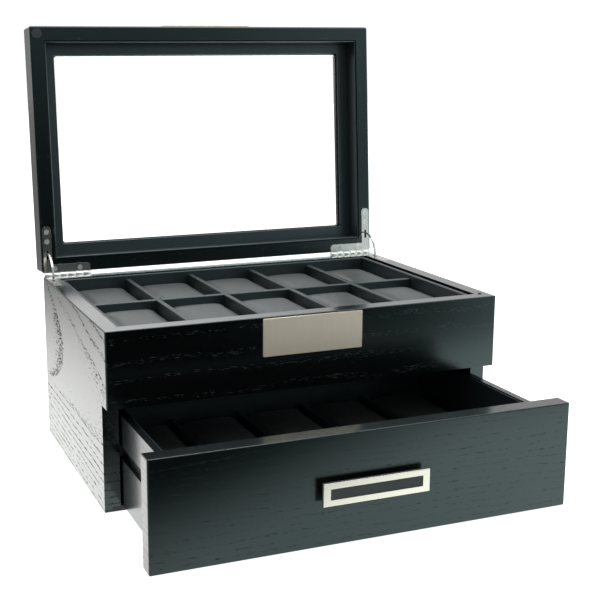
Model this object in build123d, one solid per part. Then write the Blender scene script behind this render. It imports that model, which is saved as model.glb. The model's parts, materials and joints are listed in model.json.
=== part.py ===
from build123d import *
import os
from math import asin, cos, degrees, radians, sin

os.makedirs("parts", exist_ok=True)

# Lengths are in millimetres and angles in degrees. X runs to the viewer's right, Y to the back and Z up.
# The origin is the middle of the case's plan, on the floor. The drawer stands pulled out and the lid open.

# Case boards
case_w = 330.0  # width over the side panels
case_d = 218.0  # fascia face to rear face
case_h = 144.0  # height of the wooden case
wall_t = 12.5  # sides, back, fascia and the lid's mating face
fascia_h = 59.0  # fixed board above the drawer
shelf_t = 4.0  # deck between the tray and the drawer bay
shelf_lip = 4.0  # fascia left below the deck's groove
groove_deep = 4.0  # how far the deck enters the boards
bottom_t = 4.0
rebate_w = 6.5  # step in the boards that takes the bottom
felt_t = 0.8
felt_inset = 3.0
corner_r = 1.2  # upright outer arrises
edge_r = 0.8  # arrises around the case's top
joint_gap = 0.1  # clearance of a glued joint
overcut = 3.0  # how far a cut runs past the face it opens

# Tray of lined compartments in the case
columns = 5
tray_fit = 0.2  # tray to the boards at the left, front and back
tray_slack = 3.5  # dark gap between the tray and the right board
tray_floor_t = 2.0
lining_t = 3.5
lining_drop = 0.8  # lining's top below the case's top
divider_t = 4.5
divider_drop = 4.0  # dividers' top below the case's top
soft_r = 1.0  # rounded top arrises of the covered strips

# Cushions
pillow_drop = 3.0  # crown below the dividers' top
pillow_side_gap = 0.9
pillow_end_gap = 4.0  # at the outer end of each compartment
pillow_gap = 0.3  # under the cushion and at the long divider
pillow_corner = 5.0
pillow_levels = (  # share of the height, and how far the sides and the ends are drawn in there
    (0.0, 3.2, 2.4),
    (0.08, 1.4, 1.0),
    (0.22, 0.3, 0.3),
    (0.5, 0.0, 0.0),
    (0.8, 0.2, 0.2),
    (0.9, 0.8, 0.6),
    (0.945, 1.9, 1.3),
    (0.975, 3.6, 2.4),
    (1.0, 7.0, 4.2),
)

# Drawer
drawer_open = 102.0  # how far the drawer stands out
front_t = 14.0
front_gap = 0.2  # closed front to the side panels' edges
front_lift = 1.0  # front's foot above the case's foot
front_reveal = 2.5  # front's top below the fascia
front_r = 1.2
side_t = 5.3
side_gap = 1.3  # drawer side to side panel
side_lift = 1.1  # drawer side over the bottom panel
side_drop = 6.0  # drawer side's top below the front's top
rear_gap = 11.5  # closed drawer to the back panel
dado_deep = 5.0  # how far the sides enter the front
drawer_floor_t = 3.0
drawer_floor_rise = 2.8  # floor over the sides' lower edges
floor_groove = 2.2
drawer_lining_t = 1.5
drawer_lining_drop = 1.0
drawer_divider_h = 32.0
drawer_pillow_h = 34.0
drawer_pillow_side_gap = 2.5
drawer_pillow_end_gap = 3.0

# Runners on the side panels
runner_h = 9.4
runner_rise = 38.0  # runner over the bottom panel
runner_reach = 2.7  # how far the runner enters the drawer side
run_gap = 0.3  # around the runner in its groove
runner_front_gap = 3.0
runner_rear_gap = 6.0
runner_screws_each = 3

# Metal plates on the fascia and the lid's front edge
plate_w = 84.0
plate_t = 1.6
plate_in = 0.6  # how far a plate is let into the wood
plate_edge = 1.1  # fascia's plate to the case's top
body_plate_h = 30.0
lid_plate_h = 19.0
lid_plate_edge = 2.4  # lid's plate to the mating face
plate_r = 0.3

# Drawer pull
pull_w = 83.4
pull_h = 16.9
pull_t = 2.5
pull_r = 0.4
pull_rim_end = 5.45
pull_rim_side = 4.4
pull_stand = 5.0  # clear space behind the pull
pull_rise = 41.0  # pull's middle above the front's foot
inlay_t = 1.1
inlay_drop = 0.3  # inlay below the pull's face
inlay_gap = 0.1
post_r = 3.0
post_span = 64.0
pull_screw_r = 1.5
pull_screw_head_r = 3.2
pull_screw_head_h = 2.0
pull_screw_grip = 3.8  # thread in the post

# Lid
lid_h = 26.0
lid_gap = 0.6  # case to closed lid
lid_open = 94.4  # angle of the open lid
lip_w = 25.0  # outer face to the edge of the glazed opening
lip_t = 4.0
lip_r = 2.5
lid_corner_r = 2.2
lid_edge_r = 1.5
mate_r = 2.0  # arrises of the mating face
glass_t = 2.5
glass_gap = 0.4
retainer_t = 2.0
retainer_set = 0.6  # retainer short of the opening's edge
lid_lining_t = 1.5
lid_lining_drop = 1.0
bumper_r = 4.5
bumper_t = 0.5
bumper_inset = 6.4
stop_r = 1.5
stop_proud = 0.5
stop_deep = 3.0
stop_in_x = 8.0  # stop's middle from the side face
stop_in_y = 12.2  # and from the fascia's face

# Hinges
pivot_back = 2.2  # pivot behind the rear face
knuckle_r = 2.5
knuckles = 6
knuckle_gap = 0.2
barrel_room = 0.3  # clearance of the barrel in the wood
barrel_edge = 2.0  # barrel's outer end from the side face
barrel_len = 42.0
pin_r = 1.3
pin_gap = 0.05
leaf_t = 1.2
leaf_edge = 1.75  # leaf from the side face
leaf_w = 7.8
side_arm = 42.0  # leaf's length from the rear face
leaf_r = 3.4
side_screws = (28.5, 37.2)  # from the rear face
rear_screws = (11.6, 34.6)  # from the side face
screw_head_r = 2.2
screw_head_h = 1.0
screw_r = 1.1
screw_len = 9.0
screw_gap = 0.05
recess_share = 0.65  # cross recess of a screw, of the head's width
recess_w = 0.7
recess_deep = 0.45

# Quadrant stays
stay_r = 20.0  # middle of the arc from the pivot
stay_w = 1.6
stay_t = 1.6
bar_r = 0.8  # cross bar at each end of a stay
bar_len = 4.0
stop_gap = 0.15  # cross bar to the leaf
slot_gap = 0.2
slot_len = 8.0
slot_shift = 1.3  # slot's middle towards the pivot from the arc
pocket_gap = 0.8

# Places worked out from the sizes
half_w = case_w / 2
y_front = -case_d / 2
y_back = case_d / 2
z_wood = felt_t
z_top = z_wood + case_h
z_fascia = z_top - fascia_h
z_bottom = z_wood + bottom_t
z_shelf = z_fascia + shelf_lip
z_deck = z_shelf + shelf_t
inner_x = half_w - wall_t
inner_front = y_front + wall_t
inner_back = y_back - wall_t
y_notch = y_front + front_t + front_gap
mitre_reach = lip_w + wall_t
z_mate = z_top + lid_gap
y_pivot = y_back + pivot_back
z_pivot = z_top + lid_gap / 2
leaf_x = half_w - leaf_edge - leaf_w / 2
hook_angle = degrees(asin((lid_gap / 2 + leaf_t + bar_r + stop_gap) / stay_r))
rear_arm = barrel_edge + barrel_len


def block(x0, x1, y0, y1, z0, z1):
    """Box between two opposite corners."""
    middle = Pos((x0 + x1) / 2, (y0 + y1) / 2, (z0 + z1) / 2)
    return middle * Box(x1 - x0, y1 - y0, z1 - z0)


def rounded_block(width, depth, radius, z0, z1):
    """Box on the plan's middle with rounded upright edges."""
    return Pos(0, 0, z0) * extrude(RectangleRounded(width, depth, radius), z1 - z0)


def flip(shape):
    """Mirror a hinge piece from the case's top to the closed lid's face."""
    return shape.mirror(Plane.XY.offset(z_pivot))


def other_side(shape):
    """Mirror a right-hand piece to the left."""
    return shape.mirror(Plane.YZ)


def open_lid(shape):
    """Swing a piece from the closed lid to the open lid."""
    return shape.rotate(Axis((0, y_pivot, z_pivot), (1, 0, 0)), -lid_open)


def open_drawer(shape):
    """Slide a piece from the closed drawer to the open drawer."""
    return Pos(0, -drawer_open, 0) * shape


def mitre_wedge(edge, z0, z1):
    """Prism over one edge of the plan, cut at 45 degrees towards both corners."""
    far_x = half_w - mitre_reach
    near_front = y_front + mitre_reach
    near_back = y_back - mitre_reach
    plans = {
        "right": ((half_w, y_front), (half_w, y_back), (far_x, near_back), (far_x, near_front)),
        "left": ((-half_w, y_back), (-half_w, y_front), (-far_x, near_front), (-far_x, near_back)),
        "front": ((-half_w, y_front), (half_w, y_front), (far_x, near_front), (-far_x, near_front)),
        "back": ((half_w, y_back), (-half_w, y_back), (-far_x, near_back), (far_x, near_back)),
    }
    return Pos(0, 0, z0) * extrude(Polygon(*plans[edge], align=None), z1 - z0)


def group(solids):
    """Put separate solids into one node."""
    return Compound(children=list(solids))


def soft_top(strip, radius=soft_r):
    """Round the top arrises of a covered strip."""
    top = strip.faces().sort_by(Axis.Z)[-1]
    return fillet(top.edges(), radius)


def countersunk_screw(length, radius=screw_r, head_r=screw_head_r, head_h=screw_head_h):
    """Screw that points down from its flat head, with a cross recess."""
    body = Pos(0, 0, -head_h / 2) * Cone(radius, head_r, head_h)
    body += Pos(0, 0, -length / 2) * Cylinder(radius, length)
    for turn in (0, 90):
        body -= Rot(0, 0, turn) * Box(2 * head_r * recess_share, recess_w, 2 * recess_deep)
    return body


def screw_hole(length, radius=screw_r, head_r=screw_head_r, head_h=screw_head_h):
    """Room for a countersunk screw."""
    hole = Pos(0, 0, -head_h / 2) * Cone(radius + screw_gap, head_r + screw_gap, head_h)
    deep = length + screw_gap
    return hole + Pos(0, 0, -deep / 2) * Cylinder(radius + screw_gap, deep)


def pillow(width, length, height):
    """Cushion on z = 0 with a drawn-in foot, full sides, rounded shoulders and a flat crown."""
    sections = []
    for share, side_inset, end_inset in pillow_levels:
        wide = width - 2 * side_inset
        long = length - 2 * end_inset
        radius = min(pillow_corner, wide / 3)
        sections.append(Pos(0, 0, share * height) * RectangleRounded(wide, long, radius))
    return loft(sections, ruled=True)


# Hinges, drawn for the right-hand side of the case

def leaf_outline(grow):
    """Plan of the L-shaped leaf, made larger by grow for its bed in the wood."""
    radius = leaf_r + grow
    side = Pos(leaf_x, y_back - side_arm / 2) * RectangleRounded(
        leaf_w + 2 * grow, side_arm + 2 * grow, radius
    )
    heel = Pos(leaf_x, y_back - side_arm / 4) * Rectangle(leaf_w + 2 * grow, side_arm / 2)
    rear_w = rear_arm - leaf_edge
    rear_x = half_w - leaf_edge - rear_w / 2
    rear_y = y_back - leaf_w / 2
    rear = Pos(rear_x, rear_y) * RectangleRounded(rear_w + 2 * grow, leaf_w + 2 * grow, radius)
    back_half = Pos(rear_x, y_back - leaf_w / 4) * Rectangle(rear_w + 2 * grow, leaf_w / 2)
    return side + heel + rear + back_half


def screw_places():
    """Plan positions of one leaf's four screws."""
    along_side = [(leaf_x, y_back - reach) for reach in side_screws]
    along_rear = [(half_w - reach, y_back - leaf_w / 2) for reach in rear_screws]
    return along_side + along_rear


def slot_hole():
    """Slot in a leaf for the stay."""
    middle = Pos(leaf_x, y_pivot - stay_r + slot_shift, z_top - leaf_t / 2)
    return middle * Box(stay_t + 2 * slot_gap, slot_len, 2 * leaf_t)


def hinge_leaf(first):
    """Leaf with every second knuckle, counted from first at the barrel's outer end."""
    leaf = Pos(0, 0, z_top - leaf_t) * extrude(leaf_outline(0), leaf_t)
    pitch = barrel_len / knuckles
    along_pin = Pos(half_w - barrel_edge - barrel_len / 2, y_pivot, z_pivot) * Rot(0, 90, 0)
    bore = along_pin * Cylinder(pin_r + pin_gap, barrel_len + 2 * overcut)
    leaf -= along_pin * Cylinder(knuckle_r + knuckle_gap, barrel_len + 2 * barrel_edge)
    for index in range(first, knuckles, 2):
        x1 = half_w - barrel_edge - index * pitch - knuckle_gap / 2
        x0 = x1 - pitch + knuckle_gap
        ring = Pos((x0 + x1) / 2, y_pivot, z_pivot) * Rot(0, 90, 0) * Cylinder(knuckle_r, x1 - x0)
        neck = block(x0, x1, y_back - leaf_edge, y_pivot, z_top - leaf_t, z_top)
        leaf += ring + neck
    leaf -= bore
    leaf -= slot_hole()
    for x, y in screw_places():
        leaf -= Pos(x, y, z_top) * screw_hole(screw_len)
    return leaf


def hinge_room():
    """Everything cut from the wood for one leaf, its barrel, its screws and the stay."""
    bed_h = leaf_t + overcut
    room = Pos(0, 0, z_top - leaf_t) * extrude(leaf_outline(joint_gap), bed_h)
    room += block(
        half_w - rear_arm - joint_gap, half_w - leaf_edge + joint_gap,
        y_back - leaf_w / 2, y_pivot, z_top - leaf_t, z_top - leaf_t + bed_h,
    )
    groove = Cylinder(knuckle_r + barrel_room, barrel_len + 2 * barrel_room)
    room += Pos(half_w - barrel_edge - barrel_len / 2, y_pivot, z_pivot) * Rot(0, 90, 0) * groove
    swing = radians(lid_open / 2 + hook_angle)
    near = stay_r * cos(swing) - bar_r - pocket_gap
    far = stay_r + bar_r + pocket_gap
    deep = stay_r * sin(swing) + bar_r + pocket_gap
    half_room = bar_len / 2 + pocket_gap / 2
    room += block(
        leaf_x - half_room, leaf_x + half_room, y_pivot - far, y_pivot - near,
        z_pivot - deep, z_top,
    )
    for x, y in screw_places():
        room += Pos(x, y, z_top) * screw_hole(screw_len)
    return room


def hinge_screws():
    """The four screws of one leaf."""
    return [Pos(x, y, z_top) * countersunk_screw(screw_len) for x, y in screw_places()]


def stay_arm():
    """Curved arm about the pivot, with a cross bar behind each leaf."""
    start = 180 - lid_open - hook_angle
    sweep_angle = lid_open + 2 * hook_angle
    outer = CenterArc((0, 0), stay_r + stay_w / 2, start, sweep_angle)
    inner = CenterArc((0, 0), stay_r - stay_w / 2, start, sweep_angle)
    ends = [Line(outer @ 0, inner @ 0), Line(outer @ 1, inner @ 1)]
    face = make_face([outer, inner] + ends)
    arm = extrude(Plane.YZ * face, stay_t / 2, both=True)
    for angle in (start, start + sweep_angle):
        y = stay_r * cos(radians(angle))
        z = stay_r * sin(radians(angle))
        arm += Pos(0, y, z) * Rot(0, 90, 0) * Cylinder(bar_r, bar_len)
    return Pos(leaf_x, y_pivot, z_pivot) * arm


hinge_cut = hinge_room()


# Case

def case_round():
    """Outer form that rounds the case's upright and top arrises."""
    body = rounded_block(case_w, case_d, corner_r, z_wood, z_top)
    return fillet(body.faces().sort_by(Axis.Z)[-1].edges(), edge_r)


case_form = case_round()
shelf_x = inner_x + groove_deep
shelf_room = block(
    -shelf_x, shelf_x, inner_front - groove_deep, inner_back + groove_deep,
    z_shelf - joint_gap, z_deck + joint_gap,
)
bottom_x = inner_x + rebate_w
bottom_rear = inner_back + rebate_w
bottom_room = block(-bottom_x, bottom_x, y_front, bottom_rear, z_wood, z_bottom)
stop_place = Pos(half_w - stop_in_x, y_front + stop_in_y, z_top)


def runner_screw_places():
    """Y of the screws along a runner."""
    y0 = y_notch + runner_front_gap
    y1 = inner_back - runner_rear_gap
    step = (y1 - y0) / runner_screws_each
    return [y0 + (index + 0.5) * step for index in range(runner_screws_each)]


z_runner = z_bottom + runner_rise
runner_face = inner_x - side_gap - runner_reach
runner_mid = z_runner + runner_h / 2


def side_panel():
    """Right-hand board with mitred upper ends and the notch for the drawer front."""
    board = block(inner_x, half_w, y_front, y_back, z_wood, z_top)
    board &= mitre_wedge("right", z_wood, z_top)
    board -= block(
        inner_x - overcut, half_w + overcut, y_front - overcut, y_notch, z_wood - overcut, z_fascia
    )
    board = (board & case_form) - shelf_room - bottom_room - hinge_cut
    for y in runner_screw_places():
        board -= Pos(runner_face, y, runner_mid) * Rot(0, -90, 0) * screw_hole(screw_len + runner_reach)
    return board


def back_panel():
    board = block(-half_w, half_w, inner_back, y_back, z_wood, z_top)
    board &= mitre_wedge("back", z_wood, z_top)
    board = (board & case_form) - shelf_room - bottom_room
    return board - hinge_cut - other_side(hinge_cut)


def plate_room(height, z0):
    """Shallow bed for a metal plate on the front."""
    half = plate_w / 2
    return block(-half, half, y_front - overcut, y_front + plate_in, z0, z0 + height)


def metal_plate(height, z0):
    """Plate let into the front, with softened outer edges."""
    y0 = y_front + plate_in - plate_t
    half = plate_w / 2 - joint_gap
    plate = block(-half, half, y0, y_front + plate_in, z0 + joint_gap, z0 + height - joint_gap)
    return fillet(plate.faces().sort_by(Axis.Y)[0].edges(), plate_r)


z_body_plate = z_top - plate_edge - body_plate_h


def front_fascia():
    board = block(-half_w, half_w, y_front, inner_front, z_fascia, z_top)
    board &= mitre_wedge("front", z_fascia, z_top)
    return (board & case_form) - shelf_room - plate_room(body_plate_h, z_body_plate)


right_panel = side_panel()
stop_hole = Pos(0, 0, -stop_deep / 2) * Cylinder(stop_r + joint_gap, stop_deep)
corner_stop = Pos(0, 0, (stop_proud - stop_deep) / 2) * Cylinder(stop_r, stop_deep + stop_proud)
mid_shelf = block(
    joint_gap - shelf_x, shelf_x - joint_gap,
    inner_front - groove_deep + joint_gap, inner_back + groove_deep - joint_gap, z_shelf, z_deck,
)
bottom_panel = block(
    joint_gap - bottom_x, bottom_x - joint_gap, y_notch, bottom_rear - joint_gap, z_wood, z_bottom
)
base_felt = block(
    felt_inset - half_w, half_w - felt_inset, y_notch + felt_inset, y_back - felt_inset, 0, felt_t
)


def runner():
    """Right-hand strip that the drawer side rides on."""
    y0 = y_notch + runner_front_gap
    y1 = inner_back - runner_rear_gap
    strip = block(runner_face, inner_x, y0, y1, z_runner, z_runner + runner_h)
    for y in runner_screw_places():
        strip -= Pos(runner_face, y, runner_mid) * Rot(0, -90, 0) * screw_hole(screw_len + runner_reach)
    return strip


def runner_screws():
    """Screws of the right-hand runner."""
    place = Rot(0, -90, 0) * countersunk_screw(screw_len + runner_reach)
    return [Pos(runner_face, y, runner_mid) * place for y in runner_screw_places()]


# Linings, dividers and cushions, for the tray and the drawer alike

def lining_strips(x0, x1, y0, y1, z0, z1, thick):
    """Four strips inside a rectangle: long ones at front and back, short ones between."""
    return [
        block(x0, x1, y0, y0 + thick, z0, z1),
        block(x0, x1, y1 - thick, y1, z0, z1),
        block(x0, x0 + thick, y0 + thick + joint_gap, y1 - thick - joint_gap, z0, z1),
        block(x1 - thick, x1, y0 + thick + joint_gap, y1 - thick - joint_gap, z0, z1),
    ]


def column_pitch(x0, x1):
    """Distance between dividers in a lined space."""
    return (x1 - x0 + divider_t) / columns


def dividers(x0, x1, y0, y1, z0, z1):
    """One long divider and the cross dividers, halved over each other."""
    y_mid = (y0 + y1) / 2
    half = divider_t / 2
    z_half = (z0 + z1) / 2
    long = block(x0 + joint_gap, x1 - joint_gap, y_mid - half, y_mid + half, z0, z1)
    long = soft_top(long)
    crosses = []
    for index in range(1, columns):
        x = x0 - half + index * column_pitch(x0, x1)
        cross = block(x - half, x + half, y0 + joint_gap, y1 - joint_gap, z0, z1)
        cross = soft_top(cross)
        near = half + joint_gap
        long -= block(x - near, x + near, y_mid - near, y_mid + near, z_half, z1 + overcut)
        cross -= block(x - near, x + near, y_mid - near, y_mid + near, z0 - overcut, z_half + joint_gap)
        crosses.append(cross)
    return long, crosses


def pillow_grid(x0, x1, y0, y1, z0, height, side_gap_x, end_gap):
    """Two rows of cushions, front row first, each pushed up to the long divider."""
    pitch = column_pitch(x0, x1)
    width = pitch - divider_t - 2 * side_gap_x
    row = (y1 - y0 - divider_t) / 2
    length = row - pillow_gap - end_gap
    form = pillow(width, length, height)
    y_mid = (y0 + y1) / 2
    offset = divider_t / 2 + pillow_gap + length / 2
    rows = []
    for y in (y_mid - offset, y_mid + offset):
        middles = [x0 + (index + 0.5) * pitch - divider_t / 2 for index in range(columns)]
        rows.append([Pos(x, y, z0 + pillow_gap) * form for x in middles])
    return rows


# Tray in the case

tray_x0 = tray_fit - inner_x
tray_x1 = inner_x - tray_slack
tray_y0 = inner_front + tray_fit
tray_y1 = inner_back - tray_fit
z_tray = z_deck + tray_floor_t
z_divider = z_top - divider_drop
tray_floor = block(tray_x0, tray_x1, tray_y0, tray_y1, z_deck, z_tray)
tray_strips = lining_strips(
    tray_x0, tray_x1, tray_y0, tray_y1, z_tray, z_top - lining_drop, lining_t
)
tray_space = (tray_x0 + lining_t, tray_x1 - lining_t, tray_y0 + lining_t, tray_y1 - lining_t)
tray_long, tray_crosses = dividers(*tray_space, z_tray, z_divider)
tray_rows = pillow_grid(
    *tray_space, z_tray, z_divider - pillow_drop - z_tray - pillow_gap, pillow_side_gap, pillow_end_gap
)


# Drawer, drawn closed

z_front_foot = z_wood + front_lift
z_front_top = z_fascia - front_reveal
z_side_foot = z_bottom + side_lift
z_side_top = z_front_top - side_drop
box_front = y_front + front_t
box_rear = inner_back - rear_gap
side_x = inner_x - side_gap
z_floor = z_side_foot + drawer_floor_rise
z_floor_top = z_floor + drawer_floor_t
box_x = side_x - side_t
floor_room = block(
    -box_x - floor_groove, box_x + floor_groove, box_front - floor_groove,
    box_rear - side_t + floor_groove, z_floor - joint_gap, z_floor_top + joint_gap,
)
z_pull = z_front_foot + pull_rise
pull_head_y = box_front - pull_screw_head_h - joint_gap
pull_screw_len = pull_head_y + pull_screw_head_h - y_front + pull_screw_grip


def pull_screw():
    """Screw from inside the drawer front into a post, at the pull's middle."""
    head = Pos(0, pull_head_y + pull_screw_head_h / 2, z_pull) * Rot(90, 0, 0)
    body = head * Cylinder(pull_screw_head_r, pull_screw_head_h)
    middle = pull_head_y + pull_screw_head_h - pull_screw_len / 2
    return body + Pos(0, middle, z_pull) * Rot(90, 0, 0) * Cylinder(pull_screw_r, pull_screw_len)


def pull_screw_room():
    """Stepped hole for that screw through the drawer front."""
    wide = pull_screw_head_r + joint_gap
    bore = pull_screw_r + screw_gap
    step = Pos(0, (pull_head_y + box_front + overcut) / 2, z_pull) * Rot(90, 0, 0)
    room = step * Cylinder(wide, box_front + overcut - pull_head_y)
    through = Pos(0, (y_front + box_front) / 2, z_pull) * Rot(90, 0, 0)
    return room + through * Cylinder(bore, front_t + 2 * overcut)


def drawer_front():
    board = block(-half_w, half_w, y_front, box_front, z_front_foot, z_front_top)
    board = fillet(board.edges().filter_by(Axis.Z).group_by(Axis.Y)[0], front_r)
    board = fillet(board.faces().sort_by(Axis.Y)[0].edges(), edge_r)
    for side in (-1, 1):
        x = side * (side_x - side_t / 2)
        half = side_t / 2 + joint_gap
        board -= block(
            x - half, x + half, box_front - dado_deep, box_front + overcut,
            z_side_foot - joint_gap, z_side_top + joint_gap,
        )
        board -= Pos(side * post_span / 2, 0, 0) * pull_screw_room()
    return board - floor_room


def drawer_side():
    """Right-hand side, let into the front and grooved for its runner."""
    board = block(box_x, side_x, box_front - dado_deep + joint_gap, box_rear, z_side_foot, z_side_top)
    groove_x = side_x - runner_reach - run_gap
    board -= block(
        groove_x, side_x + overcut, box_front, box_rear + overcut,
        z_runner - run_gap, z_runner + runner_h + run_gap,
    )
    return board - floor_room


drawer_back = block(
    joint_gap - box_x, box_x - joint_gap, box_rear - side_t, box_rear, z_side_foot, z_side_top
) - floor_room
drawer_floor = block(
    joint_gap - box_x - floor_groove, box_x + floor_groove - joint_gap,
    box_front - floor_groove + joint_gap, box_rear - side_t + floor_groove - joint_gap,
    z_floor, z_floor_top,
)
drawer_strips = lining_strips(
    joint_gap - box_x, box_x - joint_gap, box_front + joint_gap, box_rear - side_t - joint_gap,
    z_floor_top, z_side_top - drawer_lining_drop, drawer_lining_t,
)
lined = joint_gap + drawer_lining_t
drawer_space = (lined - box_x, box_x - lined, box_front + lined, box_rear - side_t - lined)
drawer_long, drawer_crosses = dividers(*drawer_space, z_floor_top, z_floor_top + drawer_divider_h)
drawer_rows = pillow_grid(
    *drawer_space, z_floor_top, drawer_pillow_h, drawer_pillow_side_gap, drawer_pillow_end_gap
)


# Drawer pull, drawn on the closed front

def pull_bar():
    """Flat bar with a shallow window for the inlay."""
    face_y = y_front - pull_stand - pull_t
    half = pull_w / 2
    bar = block(-half, half, face_y, face_y + pull_t, z_pull - pull_h / 2, z_pull + pull_h / 2)
    bar = fillet(bar.faces().sort_by(Axis.Y)[0].edges(), pull_r)
    window_x = half - pull_rim_end
    window_z = pull_h / 2 - pull_rim_side
    return bar - block(
        -window_x, window_x, face_y - overcut, face_y + inlay_drop + inlay_t,
        z_pull - window_z, z_pull + window_z,
    )


def pull_inlay():
    """Strip in the pull's window."""
    face_y = y_front - pull_stand - pull_t + inlay_drop
    x = pull_w / 2 - pull_rim_end - inlay_gap
    z = pull_h / 2 - pull_rim_side - inlay_gap
    return block(-x, x, face_y, face_y + inlay_t, z_pull - z, z_pull + z)


def pull_post():
    """Post between the drawer front and the bar, tapped for its screw."""
    post = Pos(0, y_front - pull_stand / 2, z_pull) * Rot(90, 0, 0) * Cylinder(post_r, pull_stand)
    tapped = pull_screw_grip + joint_gap
    hole = Pos(0, y_front - tapped / 2, z_pull) * Rot(90, 0, 0)
    return post - hole * Cylinder(pull_screw_r + screw_gap, tapped)


# Lid, drawn closed

def lid_frame():
    """Whole rebated frame, before it is cut into its four rails."""
    body = rounded_block(case_w, case_d, lid_corner_r, z_mate, z_mate + lid_h)
    body = fillet(body.faces().sort_by(Axis.Z)[-1].edges(), lid_edge_r)
    body = fillet(body.faces().sort_by(Axis.Z)[0].edges(), mate_r)
    body -= block(-inner_x, inner_x, inner_front, inner_back, z_mate - overcut, z_mate + lid_h - lip_t)
    body -= rounded_block(case_w - 2 * lip_w, case_d - 2 * lip_w, lip_r, z_mate, z_mate + lid_h + overcut)
    body -= flip(hinge_cut)
    body -= flip(other_side(hinge_cut))
    return body - plate_room(lid_plate_h, z_mate + lid_plate_edge)


z_glass = z_mate + lid_h - lip_t - glass_t
z_retainer = z_glass - retainer_t
lid_ring = lid_frame()
glass_x = inner_x - glass_gap
lid_glass = block(
    -glass_x, glass_x, inner_front + glass_gap, inner_back - glass_gap, z_glass, z_glass + glass_t
)


def lid_retainer():
    """Flat covered frame that holds the glass against the lip."""
    reach = lip_w - retainer_set
    plate = block(
        joint_gap - inner_x, inner_x - joint_gap, inner_front + joint_gap, inner_back - joint_gap,
        z_retainer, z_glass,
    )
    return plate - block(
        reach - half_w, half_w - reach, y_front + reach, y_back - reach,
        z_retainer - overcut, z_glass + overcut,
    )


lid_strips = lining_strips(
    joint_gap - inner_x, inner_x - joint_gap, inner_front + joint_gap, inner_back - joint_gap,
    z_mate + lid_lining_drop, z_retainer, lid_lining_t,
)
lid_bumper = Pos(bumper_inset - half_w, y_front + bumper_inset, z_mate - bumper_t / 2) * Cylinder(
    bumper_r, bumper_t
)

# Hinge pieces of both sides

body_leaf = hinge_leaf(0)
lid_leaf = flip(hinge_leaf(1))
pin_x = half_w - barrel_edge - barrel_len / 2
hinge_pin = Pos(pin_x, y_pivot, z_pivot) * Rot(0, 90, 0) * Cylinder(pin_r, barrel_len)
right_screws = hinge_screws()
left_screws = [other_side(screw) for screw in right_screws]
right_stay = stay_arm()

# Nodes of the case

nodes = {
    "side_panel_left": other_side(right_panel),
    "side_panel_right": right_panel - stop_place * stop_hole,
    "back_panel": back_panel(),
    "front_fascia": front_fascia(),
    "mid_shelf": mid_shelf,
    "bottom_panel": bottom_panel,
    "base_felt": base_felt,
    "drawer_runner_left": other_side(runner()),
    "drawer_runner_right": runner(),
    "runner_screws": group(runner_screws() + [other_side(screw) for screw in runner_screws()]),
    "body_plate": metal_plate(body_plate_h, z_body_plate),
    "corner_stop": stop_place * corner_stop,
    "tray_floor": tray_floor,
    "tray_lining": group(tray_strips),
    "tray_long_divider": tray_long,
    "tray_cross_dividers": group(tray_crosses),
    "hinge_body_leaf_left": other_side(body_leaf),
    "hinge_body_leaf_right": body_leaf,
    "hinge_body_screws": group(right_screws + left_screws),
    "hinge_pin_left": other_side(hinge_pin),
    "hinge_pin_right": hinge_pin,
    "stay_arm_left": other_side(right_stay),
    "stay_arm_right": right_stay,
}
for number, cushion in enumerate(tray_rows[0] + tray_rows[1], start=1):
    nodes[f"tray_cushion_{number}"] = cushion

# Nodes of the lid

closed_lid = {
    "lid_glass": lid_glass,
    "lid_retainer": lid_retainer(),
    "lid_lining": group(lid_strips),
    "lid_plate": metal_plate(lid_plate_h, z_mate + lid_plate_edge),
    "lid_bumper": lid_bumper,
    "hinge_lid_leaf_left": other_side(lid_leaf),
    "hinge_lid_leaf_right": lid_leaf,
    "hinge_lid_screws": group([flip(screw) for screw in right_screws + left_screws]),
}
for edge in ("front", "back", "left", "right"):
    closed_lid[f"lid_rail_{edge}"] = lid_ring & mitre_wedge(edge, z_mate, z_mate + lid_h)
for name, shape in closed_lid.items():
    nodes[name] = open_lid(shape)

# Nodes of the drawer

closed_drawer = {
    "drawer_front": drawer_front(),
    "drawer_side_left": other_side(drawer_side()),
    "drawer_side_right": drawer_side(),
    "drawer_back": drawer_back,
    "drawer_floor": drawer_floor,
    "drawer_lining": group(drawer_strips),
    "drawer_long_divider": drawer_long,
    "drawer_cross_dividers": group(drawer_crosses),
    "drawer_cushions_front": group(drawer_rows[0]),
    "drawer_cushions_rear": group(drawer_rows[1]),
    "pull_bar": pull_bar(),
    "pull_inlay": pull_inlay(),
    "pull_posts": group([Pos(side * post_span / 2, 0, 0) * pull_post() for side in (-1, 1)]),
    "pull_screws": group([Pos(side * post_span / 2, 0, 0) * pull_screw() for side in (-1, 1)]),
}
for name, shape in closed_drawer.items():
    nodes[name] = open_drawer(shape)

for name, shape in nodes.items():
    export_step(shape, f"parts/{name}.step")
print(len(nodes), "nodes")
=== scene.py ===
import json
from math import cos, pi, radians, sin

import bmesh
import bpy
import numpy as np
from mathutils import Matrix, Vector


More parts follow.
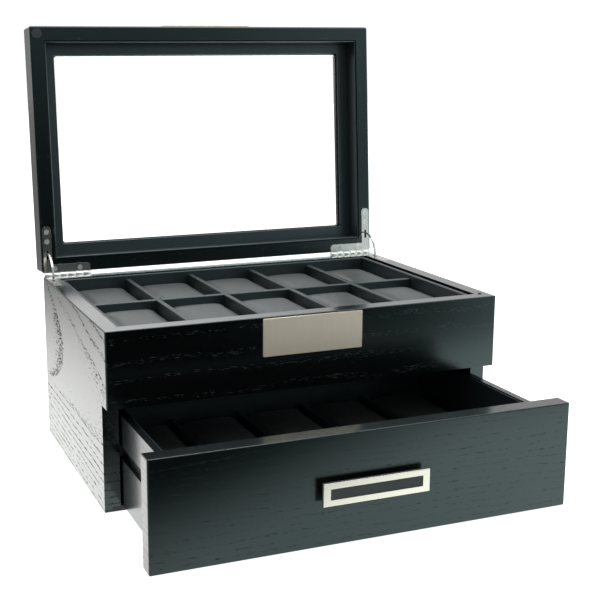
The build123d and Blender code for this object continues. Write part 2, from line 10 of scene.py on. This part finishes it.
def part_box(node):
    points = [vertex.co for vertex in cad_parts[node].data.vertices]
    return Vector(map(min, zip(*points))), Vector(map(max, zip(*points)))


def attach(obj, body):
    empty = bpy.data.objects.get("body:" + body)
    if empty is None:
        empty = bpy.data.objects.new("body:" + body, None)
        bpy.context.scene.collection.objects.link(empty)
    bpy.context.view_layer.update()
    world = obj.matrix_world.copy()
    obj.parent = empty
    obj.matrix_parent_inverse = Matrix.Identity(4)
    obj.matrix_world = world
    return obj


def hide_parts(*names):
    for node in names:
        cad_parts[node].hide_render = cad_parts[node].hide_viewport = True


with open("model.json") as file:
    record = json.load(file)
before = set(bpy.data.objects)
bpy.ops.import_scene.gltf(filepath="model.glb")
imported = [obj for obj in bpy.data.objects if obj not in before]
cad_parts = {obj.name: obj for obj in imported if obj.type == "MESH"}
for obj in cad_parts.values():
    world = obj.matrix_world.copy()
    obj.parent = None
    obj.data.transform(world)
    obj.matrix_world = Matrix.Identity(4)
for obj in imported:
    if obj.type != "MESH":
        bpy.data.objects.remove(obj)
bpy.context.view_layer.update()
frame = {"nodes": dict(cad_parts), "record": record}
parts = frame["nodes"]
scene = bpy.context.scene
scene.view_settings.view_transform = "Standard"


# Camera
# It stands in front of the box and to its left, as high as the open lid. Its place, turn and lens
# were solved from the box's own corners in the photograph, in a frame of 600 by 600.
eye = Vector((-0.356815, -0.875163, 0.341463))
yaw, pitch, roll = 0.367114, 0.206270, -0.003784
frame_px = 600
focal_px = 1124.935
centre_px = (237.846, 287.313)
ahead = Vector((sin(yaw) * cos(pitch), cos(yaw) * cos(pitch), -sin(pitch)))
level = Vector((cos(yaw), -sin(yaw), 0))
over = level.cross(ahead)
right = cos(roll) * level + sin(roll) * over
up = cos(roll) * over - sin(roll) * level
lens = bpy.data.cameras.new("photo_camera")
lens.sensor_width = 36
lens.lens = focal_px / frame_px * lens.sensor_width
lens.shift_x = 0.5 - centre_px[0] / frame_px
lens.shift_y = centre_px[1] / frame_px - 0.5
lens.clip_start = 0.05
lens.clip_end = 50
camera = bpy.data.objects.new("photo_camera", lens)
camera.matrix_world = Matrix.Translation(eye) @ Matrix((right, up, -ahead)).transposed().to_4x4()
scene.collection.objects.link(camera)
scene.camera = camera


# Case boards
# The boards are faced with an open-pored veneer, stained black and lacquered. Its pores stay
# unfilled, so they scatter light where the lacquer between them mirrors the room.
class Wire:
    """An output socket in a finish. Sums, products and comparisons with it add Math nodes."""

    def __init__(self, finish, socket):
        self.finish = finish
        self.socket = socket

    def out(self, name):
        return Wire(self.finish, self.socket.node.outputs[name])

    def math(self, operation, *others):
        sockets = dict(enumerate((self, *others)))
        return self.finish.node("ShaderNodeMath", {"operation": operation}, sockets)

    def __add__(self, other):
        return self.math("ADD", other)

    def __sub__(self, other):
        return self.math("SUBTRACT", other)

    def __rsub__(self, other):
        return self.math("MULTIPLY", -1.0).math("ADD", other)

    def __mul__(self, other):
        return self.math("MULTIPLY", other)

    def __truediv__(self, other):
        return self.math("DIVIDE", other)

    __radd__ = __add__
    __rmul__ = __mul__

    def clamped(self):
        return self.math("MAXIMUM", 0.0).math("MINIMUM", 1.0)

    def ramp(self, low, high):
        """0 below low, 1 above high and a smooth step between."""
        sockets = {0: self, 1: low, 2: high, 3: 0.0, 4: 1.0}
        return self.finish.node("ShaderNodeMapRange", {"interpolation_type": "SMOOTHSTEP"}, sockets)


class Finish:
    """The node tree of a material, or of the world around the box."""

    def __init__(self, name, library=bpy.data.materials):
        self.holder = library.new(name)
        self.holder.use_nodes = True
        self.tree = self.holder.node_tree
        self.tree.nodes.clear()

    def node(self, kind, settings=None, inputs=None, output=0):
        """Add a node: its settings first, then a value or a wire for each socket."""
        made = self.tree.nodes.new(kind)
        for name, value in (settings or {}).items():
            setattr(made, name, value)
        for key, value in (inputs or {}).items():
            if isinstance(value, Wire):
                self.tree.links.new(value.socket, made.inputs[key])
            else:
                made.inputs[key].default_value = value
        return Wire(self, made.outputs[output]) if len(made.outputs) else None

    def place(self):
        """The piece's own coordinates in millimetres, as three wires."""
        point = self.node("ShaderNodeTexCoord", output="Object")
        split = self.node("ShaderNodeSeparateXYZ", inputs={0: point})
        return [split.out(axis) * 1000.0 for axis in "XYZ"]

    def vector(self, x, y, z):
        return self.node("ShaderNodeCombineXYZ", inputs={0: x, 1: y, 2: z})

    def noise(self, x, y, z, detail=2.0, rough=0.5):
        """Noise of about 0 to 1 whose lumps are one unit across."""
        point = self.vector(x, y, z)
        sockets = {"Vector": point, "Scale": 1.0, "Detail": detail, "Roughness": rough}
        return self.node("ShaderNodeTexNoise", inputs=sockets)

    def mix(self, factor, first, second):
        """Blend of two colours."""
        sockets = {0: factor, 6: first, 7: second}
        return self.node("ShaderNodeMix", {"data_type": "RGBA"}, sockets, output=2)

    def bump(self, height_mm):
        """Normal from a height in millimetres."""
        sockets = {"Height": height_mm, "Strength": 1.0, "Distance": 0.001}
        return self.node("ShaderNodeBump", inputs=sockets)

    def surface(self, sockets):
        """Close the tree with a Principled shader and return the material."""
        shader = self.node("ShaderNodeBsdfPrincipled", inputs=sockets)
        self.node("ShaderNodeOutputMaterial", inputs={"Surface": shader})
        return self.holder


def dress(material, *names):
    """Give CAD nodes a finish."""
    for name in names:
        for place in parts[name].material_slots:
            place.material = material


def veneer(
    name, grain, pores=1.0, pore_tone=(0.075, 0.075, 0.07), gloss=0.24, stroke=(14.0, 0.8), deep=0.06
):
    """Stained veneer. The grain gives wires for the ways along, across and through the sheet in
    millimetres, and for the growth ring, whose whole numbers start the rows of open pores. Two
    noises stretched along the grain, strokes and finer dashes, open a pore where their sum is over
    a limit, and the limit is lower in the first part of each ring. Stroke is a stroke's length and
    width, and deep is a pore's depth, both in millimetres."""
    finish = Finish(name)
    along, across, through, ring = grain(finish, *finish.place())
    length, width = stroke
    stripe = finish.noise(along / length, across / width, through / width, 1.0)
    dash = finish.noise(along / 3.6, across / 0.45, through / 0.45, 1.0)
    cloud = finish.noise(along / 34.0, across / 6.0, through / 6.0, 1.0)
    crowded = 1.0 - ring.math("FRACT").ramp(0.12, 0.42)
    limit = 0.725 - 0.225 * pores * crowded - 0.12 * (cloud - 0.5)
    pore = ((0.5 * stripe + 0.5 * dash - limit) * 18.0).clamped()
    fibre = finish.noise(along / 11.0, across / 0.3, through / 0.3, 2.0)
    tone = finish.noise(along / 60.0, across / 12.0, through / 12.0, 1.0)
    ground = finish.mix(tone, (0.0012, 0.0015, 0.0015, 1), (0.0032, 0.0037, 0.0036, 1))
    height = fibre * 0.010 - pore * deep
    return finish.surface({
        "Base Color": finish.mix(pore, ground, (*pore_tone, 1)),
        "Roughness": pore * 0.5 + (gloss + 0.06 * (fibre - 0.5)),
        "Specular IOR Level": 0.3,
        "Specular Tint": (0.6, 1.0, 1.03, 1),
        "Coat Weight": 1.0 - pore,
        "Coat Roughness": 0.16,
        "Coat IOR": 1.4,
        "Normal": finish.bump(height),
    })


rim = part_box("front_fascia")[1].z * 1000
closed_ring = 0.9


def off_the_rim(ring, z):
    """Keep the rows of pores off the narrow strips that cover the boards' upper edges: there the
    ring is one number, well past the first part of a ring."""
    edge = z.ramp(rim - 0.6, rim - 0.3)
    return ring * (1.0 - edge) + closed_ring * edge


def flame_grain(finish, x, y, z):
    """Cathedral figure on the sides. Reach is how far a point lies inside the outer parabola, which
    points to the front along an axis 91 mm up, and the inner one starts where reach is some 215 mm.
    Each arch is a band of pores that thins out inwards. Outside the outer one the ring falls with
    reach, and below 53 mm with the height as well, which gives rows 6 to 7 mm apart there."""
    wander = finish.noise(y / 55.0, z / 24.0, 0.0, 2.0) - 0.5
    off_axis = z - (91.0 + 0.113 * y) + wander * (4.0 + 6.0 * z.ramp(50.0, 90.0))
    square = off_axis * off_axis
    reach = y - 0.122 * square + 183.0 + 24.0 * wander
    inside = reach.math("MAXIMUM", 0.0) / (215.0 - 0.09 * square).math("MAXIMUM", 60.0)
    outer = reach.math("GREATER_THAN", 0.0) * (0.16 + 0.26 * inside.math("MINIMUM", 1.0))
    inner = inside.math("GREATER_THAN", 1.0) * (0.6 + (1.5 * (inside - 1.0)).math("MINIMUM", 0.5))
    rows = reach.math("MINIMUM", 0.0) / 180.0 + (z - 53.0 + 4.0 * wander).math("MINIMUM", 0.0) / 12.0
    return y, z, x, off_the_rim(outer + inner + rows, z)


def straight_grain(start, spacing):
    """Rows of pores along X, in levels of Z from start downwards."""
    def grain(finish, x, y, z):
        wander = finish.noise(x / 70.0, z / 14.0, 3.0, 2.0) - 0.5
        ring = (start - z) / spacing + wander * 0.9
        return x, z, y, off_the_rim(ring, z)
    return grain


side_veneer = veneer("side_veneer", flame_grain, 1.05, (0.03, 0.03, 0.028), 0.24, (7.0, 1.5))
top_row = 154.8
row_spacing = 15.5
front_veneer = veneer(
    "front_veneer", straight_grain(top_row, row_spacing), 0.58, (0.06, 0.07, 0.07), 0.24, (6.0, 0.3)
)
dress(side_veneer, "side_panel_left", "side_panel_right")
dress(front_veneer, "front_fascia", "back_panel")


# Boards inside the case
# The deck sits in grooves, the bottom in rebates and the two runners on screws. They, the drawer's
# floor and its back are thin board, stained black and left without the gloss.
def stained_board(name, base, rough):
    """Dull black board with a faint straight fibre."""
    finish = Finish(name)
    x, y, z = finish.place()
    fibre = finish.noise(x / 0.5, y / 14.0, z / 0.5, 2.0)
    dark = tuple(0.7 * part for part in base)
    return finish.surface({
        "Base Color": finish.mix(fibre, (*dark, 1), (*base, 1)),
        "Roughness": rough + 0.1 * fibre,
        "Normal": finish.bump(fibre * 0.015),
    })


inner_black = stained_board("inner_black", (0.005, 0.0055, 0.0055), 0.5)
dress(
    inner_black, "mid_shelf", "bottom_panel", "drawer_runner_left", "drawer_runner_right",
    "drawer_floor", "drawer_back",
)


# Base felt
# One sheet of black felt, 0.8 mm thick, is cut a little smaller than the bottom and glued under
# it. The box stands on it.
felt = Finish("felt")
x, y, z = felt.place()
fuzz = felt.noise(x / 0.8, y / 0.8, z / 0.8, 3.0)
dress(felt.surface({
    "Base Color": felt.mix(fuzz, (0.008, 0.008, 0.008, 1), (0.03, 0.03, 0.03, 1)),
    "Roughness": 0.95,
    "Sheen Weight": 0.3,
    "Normal": felt.bump(fuzz * 0.2),
}), "base_felt")


# Tray linings and dividers
# Thin boards wrapped in matt black leatherette, with a pressed grain of small pebbles. The cover
# goes round their upper edges, so these are soft.
def leatherette(name, dark, light, rough, shine, pebble, depth, seam_at=None):
    """Pressed leather grain: cells of a given width in millimetres, with soft lumps between. A
    seam is a raised thread that far in from a cushion's sides, on the piece's own attribute. Its lighter
    colour is a painted highlight along it."""
    finish = Finish(name)
    x, y, z = finish.place()
    point = finish.vector(x / pebble, y / pebble, z / pebble)
    sockets = {"Vector": point, "Scale": 1.0, "Randomness": 1.0}
    cell = finish.node("ShaderNodeTexVoronoi", {"feature": "F1"}, sockets).clamped()
    lump = finish.noise(x / 9.0, y / 9.0, z / 9.0, 2.0)
    height = (1.0 - cell) * depth + lump * (2.0 * depth)
    colour = finish.mix(cell, (*light, 1), (*dark, 1))
    if seam_at:
        inward = finish.node("ShaderNodeAttribute", {"attribute_name": "inward"}, output="Fac")
        thread = 1.0 - (inward - seam_at).math("ABSOLUTE").ramp(0.25, 0.75)
        thread_rise = 0.35
        height = height + thread * thread_rise
        # The raised thread is real. Its lighter colour is a painted highlight along the seam.
        colour = finish.mix(thread, colour, (0.16, 0.17, 0.17, 1))
    return finish.surface({
        "Base Color": colour,
        "Roughness": rough + 0.12 * cell,
        "Specular IOR Level": shine,
        "Specular Tint": (0.86, 1.0, 1.04, 1),
        "Normal": finish.bump(height),
    })


def softened(node, width, segments=3):
    """Copy a CAD node with its loose triangles merged and give its sharp edges a round bevel."""
    mesh = parts[node].data.copy()
    shell = bmesh.new()
    shell.from_mesh(mesh)
    bmesh.ops.remove_doubles(shell, verts=shell.verts, dist=1e-6)
    bmesh.ops.dissolve_limit(shell, angle_limit=radians(0.5), verts=shell.verts, edges=shell.edges)
    shell.to_mesh(mesh)
    shell.free()
    piece = bpy.data.objects.new(f"{node}_covered", mesh)
    scene.collection.objects.link(piece)
    bevel = piece.modifiers.new("soft_edges", "BEVEL")
    bevel.width = width / 1000
    bevel.segments = segments
    bevel.limit_method = "ANGLE"
    bevel.angle_limit = radians(40)
    bevel.harden_normals = True
    return piece


def stand_in(piece, node, body, material):
    """Put a new piece in a CAD node's place, on its body and in its slot."""
    piece.data.materials.clear()
    piece.data.materials.append(material)
    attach(piece, body)
    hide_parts(node)


lining_leather = leatherette(
    "lining_leather", (0.005, 0.008, 0.009), (0.011, 0.016, 0.018), 0.34, 1.0, 0.55, 0.03
)
dress(
    lining_leather, "tray_floor", "tray_long_divider", "tray_cross_dividers",
    "drawer_lining", "drawer_long_divider", "drawer_cross_dividers",
)
stand_in(softened("tray_lining", 0.8), "tray_lining", "case", lining_leather)
stand_in(softened("lid_lining", 0.7), "lid_lining", "lid", lining_leather)
stand_in(softened("lid_retainer", 0.7), "lid_retainer", "lid", lining_leather)


# Cushions
# Foam blocks covered in smooth black leatherette, one in each compartment, with full sides,
# rounded shoulders and a low crown. The foam swells the cover, whose end panels are sewn on.
seam_in = 1.3
cushion_leather = leatherette(
    "cushion_leather", (0.040, 0.042, 0.042), (0.056, 0.059, 0.059), 0.36, 0.85, 0.35, 0.012, seam_in
)
shoulder = np.array([7.0, 4.0, 4.5])
slack = 0.8
voxel = 0.0028
settling_frames = 20
crown_rise = 2.4
wave_rise = 0.35
lean = 0.25


def foam_block(size):
    """Block with rounded corners, in millimetres about its middle: a point of the unit sphere,
    times the shoulder's three radii, and moved outwards to the corner of its eighth. The two poles
    stay over the middle."""
    turn, rise = np.meshgrid(
        np.linspace(0, 2 * pi, 48, endpoint=False) + pi / 48, np.linspace(-pi / 2, pi / 2, 26)
    )
    sphere = np.stack([np.cos(rise) * np.cos(turn), np.cos(rise) * np.sin(turn), np.sin(rise)], -1)
    eighth = np.where(np.abs(sphere) > 1e-9, np.sign(sphere), 0)
    points = sphere * shoulder + eighth * (size / 2 - shoulder)
    index = np.arange(turn.size).reshape(turn.shape)
    after = np.roll(index, -1, 1)
    quads = np.stack([index[:-1], after[:-1], after[1:], index[1:]], -1).reshape(-1, 4)
    return points.reshape(-1, 3), quads


def positions(mesh):
    """A mesh's points in millimetres."""
    flat = np.empty(len(mesh.vertices) * 3)
    mesh.vertices.foreach_get("co", flat)
    return flat.reshape(-1, 3) * 1000


def swollen(size):
    """Remesh a foam block, let air pressure push its cover out as cloth, hold every point within
    the slack of where it began, and return the mesh about its middle."""
    points, quads = foam_block(size - 2 * slack)
    mesh = bpy.data.meshes.new("foam")
    mesh.from_pydata((points / 1000).tolist(), [], quads.tolist())
    foam = bpy.data.objects.new("foam", mesh)
    scene.collection.objects.link(foam)
    voxels = foam.modifiers.new("voxels", "REMESH")
    voxels.mode = "VOXEL"
    voxels.voxel_size = voxel
    steps = foam.modifiers.new("steps", "SMOOTH")
    steps.factor = 0.5
    steps.iterations = 6
    shaped = foam.evaluated_get(bpy.context.evaluated_depsgraph_get())
    foam.data = bpy.data.meshes.new_from_object(shaped)
    foam.modifiers.clear()
    still = positions(foam.data)
    cover = foam.modifiers.new("cover", "CLOTH")
    cover.settings.quality = 4
    cover.settings.use_pressure = True
    cover.settings.uniform_pressure_force = 4.0
    cover.settings.effector_weights.gravity = 0.0
    cover.point_cache.frame_end = settling_frames
    for moment in range(1, settling_frames + 1):
        scene.frame_set(moment)
    full = foam.evaluated_get(bpy.context.evaluated_depsgraph_get()).to_mesh()
    push = positions(full) - still
    foam.modifiers.clear()
    scene.frame_set(1)
    far = np.maximum(np.linalg.norm(push, axis=1, keepdims=True), 1e-6)
    still = still + push * np.minimum(1.0, slack / far)
    print("cushion cover moved", round(float(np.linalg.norm(push, axis=1).mean()), 3), "mm")
    mesh = foam.data
    mesh.vertices.foreach_set("co", (still / 1000).ravel())
    bpy.data.objects.remove(foam)
    return mesh


def cushion(name, cover, low, high, seed):
    """Fit a copy of the swollen cover between two corners. The crown is the product of two
    parabolas, one at the middle and nothing at the sides. A point over the middle height sinks by
    what the crown leaves of the rise, and gets a low wave of the cushion's own. Each point keeps
    its distance from the sides as the attribute that the seam reads."""
    rng = np.random.default_rng(seed)
    shift = rng.uniform(-1, 1, 3)
    low, high = np.array(low) * 1000, np.array(high) * 1000
    half = (high - low) / 2
    points = positions(cover)
    reach = np.abs(points).max(axis=0)
    u, v, w = (points / reach).T
    crown = (1 - u ** 2) * (1 - v ** 2)
    wave = np.sin(2.6 * u + 2 * shift[0]) * np.cos(2.2 * v + 2 * shift[1])
    points = points * (half / reach)
    points[:, 2] += np.where(w > 0, w * (crown_rise * crown + wave_rise * wave * crown - crown_rise), 0.0)
    points[:, 0] += lean * shift[2] * (1 - u ** 2)
    mesh = cover.copy()
    mesh.name = name
    mesh.vertices.foreach_set("co", ((points + (low + high) / 2) / 1000).ravel())
    inward = mesh.attributes.new("inward", "FLOAT", "POINT")
    inward.data.foreach_set("value", half[0] - np.abs(points[:, 0]))
    mesh.polygons.foreach_set("use_smooth", np.ones(len(mesh.polygons), bool))
    piece = bpy.data.objects.new(name, mesh)
    scene.collection.objects.link(piece)
    finer = piece.modifiers.new("finer", "SUBSURF")
    finer.levels = finer.render_levels = 1
    return piece


def row_places(node):
    """Corners of the five cushions in one of the drawer's rows. The pitch comes from the four cross
    dividers, each as thick as the long one."""
    low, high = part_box(node)
    first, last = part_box("drawer_cross_dividers")
    front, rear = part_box("drawer_long_divider")
    pitch = (last.x - first.x - (rear.y - front.y)) / 3
    width = high.x - low.x - 4 * pitch
    starts = [low.x + column * pitch for column in range(5)]
    return [(Vector((x, low.y, low.z)), Vector((x + width, high.y, high.z))) for x in starts]


def pad(piece, node, body):
    """Put a cushion in its node's place, on its body, with the cushion leatherette."""
    stand_in(piece, node, body, cushion_leather)


low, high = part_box("tray_cushion_1")
tray_cover = swollen(np.array(high - low) * 1000)
for number in range(1, 11):
    node = f"tray_cushion_{number}"
    pad(cushion(f"cushion_{number}", tray_cover, *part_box(node), number), node, "case")

low, high = row_places("drawer_cushions_front")[0]
drawer_cover = swollen(np.array(high - low) * 1000)
for row, node in enumerate(("drawer_cushions_front", "drawer_cushions_rear")):
    for column, (low, high) in enumerate(row_places(node)):
        number = row * 5 + column + 1
        pad(cushion(f"drawer_cushion_{number}", drawer_cover, low, high, 20 + number), node, "drawer")


# Metal plates
# Two plates of warm nickel, brushed up and down and clear lacquered. One is let into the fascia
# under its top edge and the other into the lid's front edge.
def brushed(name, tone, rough, along_axis, metallic=1.0):
    """Metal with fine scratches along one axis, shown as changes of tone, gloss and height."""
    finish = Finish(name)
    spread = [0.35, 0.35, 0.35]
    spread[along_axis] = 5.0
    x, y, z = finish.place()
    fine = finish.noise(x / spread[0], y / spread[1], z / spread[2], 3.0, 0.7)
    broad = finish.noise(x / (spread[0] * 8), y / (spread[1] * 8), z / (spread[2] * 4), 2.0)
    streak = 0.65 * fine + 0.35 * broad
    dark = tuple(0.84 * part for part in tone)
    return finish.surface({
        "Base Color": finish.mix(streak, (*dark, 1), (*tone, 1)),
        "Metallic": metallic,
        "Roughness": rough + 0.16 * (streak - 0.5),
        "Normal": finish.bump(streak * 0.02),
    })


plate_metal = brushed("plate_metal", (1.0, 0.9, 0.73), 0.36, 2, 0.35)
dress(plate_metal, "lid_plate")
stand_in(softened("body_plate", 0.7), "body_plate", "case", plate_metal)


# Hinges and stays
# Stamped steel, chrome plated and let into the case's and the lid's corners with countersunk
# screws. A curved arm in slots at each side stops the lid.
chrome = Finish("hinge_chrome")
x, y, z = chrome.place()
smear = chrome.noise(x / 3.0, y / 3.0, z / 3.0, 2.0)
chrome_metal = chrome.surface({
    "Base Color": chrome.mix(smear, (0.70, 0.66, 0.63, 1), (0.78, 0.75, 0.72, 1)),
    "Metallic": 1.0,
    "Roughness": 0.17 + 0.05 * smear,
})
dress(chrome_metal, "hinge_pin_left", "hinge_pin_right", "stay_arm_left", "stay_arm_right")
for hand in ("left", "right"):
    for half, body in (("body", "case"), ("lid", "lid")):
        leaf = f"hinge_{half}_leaf_{hand}"
        stand_in(softened(leaf, 0.3, 2), leaf, body, chrome_metal)
screw = Finish("screw_steel")
x, y, z = screw.place()
wear = screw.noise(x / 0.6, y / 0.6, z / 0.6, 2.0)
screw_metal = screw.surface({
    "Base Color": screw.mix(wear, (0.70, 0.67, 0.62, 1), (0.88, 0.85, 0.80, 1)),
    "Metallic": 1.0,
    "Roughness": 0.3 + 0.2 * wear,
})
dress(screw_metal, "hinge_body_screws", "hinge_lid_screws", "runner_screws", "pull_screws")


# Lid frame
# Four mitred rails in the same veneer, whose grain runs along each rail. They stand almost
# upright, turned back about the hinges by the angle of the open lid.
lid_hinge = next(joint for joint in frame["record"]["behaviour"]["joints"] if joint["name"] == "lid_hinge")
lid_turn = radians(lid_hinge["range_deg"][1])
pivot_mm = [1000 * place for place in lid_hinge["pos_m"]]


def rail_grain(upright, start):
    """Straight grain along a rail of the open lid. The point is turned about the hinges' line to
    where it is in the closed lid, and the rows there lie level or run to the front."""
    def grain(finish, x, y, z):
        off_y = y - pivot_mm[1]
        off_z = z - pivot_mm[2]
        shut_y = off_y * cos(lid_turn) - off_z * sin(lid_turn)
        shut_z = off_y * sin(lid_turn) + off_z * cos(lid_turn)
        along, across = (shut_y, x) if upright else (x, shut_y)
        wander = finish.noise(along / 70.0, across / 14.0, start, 2.0) - 0.5
        return along, across, shut_z, (across + shut_z) / 11.0 + wander * 0.8 + start
    return grain


for number, edge in enumerate(("front", "back", "left", "right"), 1):
    upright = edge in ("left", "right")
    dress(veneer(f"lid_veneer_{edge}", rail_grain(upright, float(number)), 0.35), f"lid_rail_{edge}")


# Lid glass
# One sheet of clear float glass lies in the rails' rebate. A frame covered like the tray's strips
# holds it there.
glass = Finish("clear_glass")
x, y, z = glass.place()
film = glass.noise(x / 60.0, y / 60.0, z / 60.0, 2.0)
dress(glass.surface({
    "Base Color": (0.95, 1.0, 0.99, 1),
    "Roughness": 0.02 + 0.02 * film,
    "Alpha": 0.015 + 0.01 * film,
    "IOR": 1.5,
}), "lid_glass")


# Bumper and stop
# A grey rubber dot is stuck on the lid's free corner, and a small pin of the same rubber is
# pressed into the case's front corner. They keep the closed lid off the case.
dot = Finish("bumper_rubber")
x, y, z = dot.place()
grit = dot.noise(x / 0.5, y / 0.5, z / 0.5, 2.0)
dress(dot.surface({
    "Base Color": dot.mix(grit, (0.03, 0.034, 0.034, 1), (0.05, 0.055, 0.055, 1)),
    "Roughness": 0.35 + 0.1 * grit,
    "Normal": dot.bump(grit * 0.02),
}), "lid_bumper", "corner_stop")


# Drawer
# The front is one wide board in a quieter, straighter veneer. The sides are let into it and run on
# the case's runners by a groove.
def quiet_grain(finish, x, y, z):
    """Close straight rows along X."""
    wander = finish.noise(x / 120.0, z / 20.0, 7.0, 2.0) - 0.5
    return x, z, y, z / 5.5 + wander * 2.2


drawer_veneer = veneer("drawer_veneer", quiet_grain, 0.74, (0.008, 0.011, 0.011), 0.3, (8.0, 0.35), 0.03)
dress(drawer_veneer, "drawer_front")


def side_grain(finish, x, y, z):
    """Close straight rows along Y."""
    wander = finish.noise(y / 90.0, z / 18.0, 5.0, 2.0) - 0.5
    return y, z, x, z / 6.0 + wander * 1.5


drawer_side_veneer = veneer("drawer_side_veneer", side_grain, 0.5, (0.03, 0.03, 0.03), 0.36, (14.0, 0.6))
dress(drawer_side_veneer, "drawer_side_left", "drawer_side_right")


# Drawer pull
# A flat brushed bar with a strip of black twill let into its window. It stands off the front on
# two posts, and screws through the front hold them.
pull_metal = brushed("pull_metal", (0.9, 0.815, 0.705), 0.36, 0)
dress(pull_metal, "pull_bar", "pull_posts")
twill = Finish("twill_inlay")
x, y, z = twill.place()
thread = ((x + z) / 1.1).math("FRACT")
cross = ((x - z) / 1.1).math("FRACT")
rise = (thread - 0.5).math("ABSOLUTE") * 2.0
over_under = (cross - 0.5).math("ABSOLUTE").ramp(0.1, 0.4)
dress(twill.surface({
    "Base Color": twill.mix(rise, (0.012, 0.014, 0.014, 1), (0.05, 0.056, 0.056, 1)),
    "Roughness": 0.5 + 0.2 * over_under,
    "Normal": twill.bump(rise * 0.12 + over_under * 0.04),
}), "pull_inlay")


# Studio
# A white table under a soft lamp, in a room whose walls are dark near the camera. The camera and
# clear glass see plain white. For glossy rays the table glows with a painted pool of light and painted
# shade, and glossy surfaces see that and the room.
floor_half = 6.0
around = ((-1, -1), (1, -1), (1, 1), (-1, 1))
floor_mesh = bpy.data.meshes.new("floor")
floor_mesh.from_pydata([(floor_half * x, floor_half * y, 0) for x, y in around], [], [(0, 1, 2, 3)])
floor = bpy.data.objects.new("floor", floor_mesh)
scene.collection.objects.link(floor)
table = Finish("white_table_painted_pool")
x, y, z = table.place()
rays = table.node("ShaderNodeLightPath", output="Is Camera Ray")
plain = (rays + rays.out("Is Transmission Ray")).clamped()
mirrored = rays.out("Is Glossy Ray")
# Painted pool of light for glossy rays: brighter in front and to the right, with painted shade near the
# camera at the left, fading towards the back at the left.
painted_near_light = (x.math("MINIMUM", 250.0) + 2.07 * y).ramp(-880.0, -560.0)
painted_near_light = painted_near_light * (0.92 + 0.33 * x.ramp(-100.0, 250.0))
painted_front_light = 1.45 * painted_near_light + 1.2 * (x + 0.45 * y).ramp(100.0, 350.0)
painted_left_light = 1.65 - 1.42 * (y - x).ramp(150.0, 1350.0)
painted_left_light = painted_left_light * (0.2 + 0.8 * y.ramp(-350.0, -120.0))
aside = x.ramp(-175.0, -120.0)
painted_pool = painted_left_light + aside * (painted_front_light - painted_left_light)
painted_pool_tint = table.mix(aside, (1, 1, 0.98, 1), (0.88, 1.0, 1.0, 1))
matt = table.node("ShaderNodeBsdfDiffuse", inputs={"Color": (0.8, 0.8, 0.8, 1)})
glow = table.node("ShaderNodeEmission", inputs={"Color": (1, 1, 1, 1), "Strength": plain * 0.97})
seen = table.node("ShaderNodeAddShader", inputs={0: matt, 1: glow})
# This emission is painted light. The table glows with it only for glossy rays.
painted_pool_glow = table.node("ShaderNodeEmission", inputs={"Color": painted_pool_tint, "Strength": painted_pool})
either = table.node("ShaderNodeMixShader", inputs={0: mirrored, 1: seen, 2: painted_pool_glow})
table.node("ShaderNodeOutputMaterial", inputs={"Surface": either})
floor_mesh.materials.append(table.holder)

room = Finish("room", bpy.data.worlds)
toward = room.node("ShaderNodeSeparateXYZ", inputs={0: room.node("ShaderNodeTexCoord", output="Generated")})
to_right, to_back, to_top = [toward.out(axis) for axis in "XYZ"]
rays = room.node("ShaderNodeLightPath", output="Is Camera Ray")
plain = (rays + rays.out("Is Transmission Ray")).clamped()
mirrored = rays.out("Is Glossy Ray")
behind = to_back.ramp(-0.15, 0.25)
front_wall = 0.03 + 0.6 * to_right.ramp(0.3, 0.5) + 0.45 * to_top.ramp(0.05, 0.2)
left_dark = to_right.ramp(-0.45, -0.3) * (1.0 - to_right.ramp(-0.12, 0.05))
left_dark = left_dark * (1.0 - to_top.ramp(0.15, 0.5))
back_wall = 1.25 - 0.95 * left_dark - 0.55 * to_right.ramp(0.2, 0.45)
walls = front_wall + behind * (back_wall - front_wall)
room_light = 0.42
strength = room_light + 0.63 * plain + mirrored * (walls - room_light)
tint = room.mix(mirrored * (1.0 - behind), (1, 1, 1, 1), (0.82, 1.0, 1.03, 1))
air = room.node("ShaderNodeBackground", inputs={"Color": tint, "Strength": strength})
room.node("ShaderNodeOutputWorld", inputs={"Surface": air})
scene.world = room.holder


def softbox(name, place, aim, width, height, watts):
    """Area lamp at place that faces aim."""
    lamp = bpy.data.lights.new(name, "AREA")
    lamp.shape = "RECTANGLE"
    lamp.size = width
    lamp.size_y = height
    lamp.energy = watts
    turn = (Vector(aim) - Vector(place)).to_track_quat("-Z", "Y")
    piece = bpy.data.objects.new(name, lamp)
    piece.matrix_world = Matrix.Translation(place) @ turn.to_matrix().to_4x4()
    scene.collection.objects.link(piece)


softbox("overhead", (0.1, 0.1, 1.6), (0, 0, 0.1), 1.6, 1.4, 20)
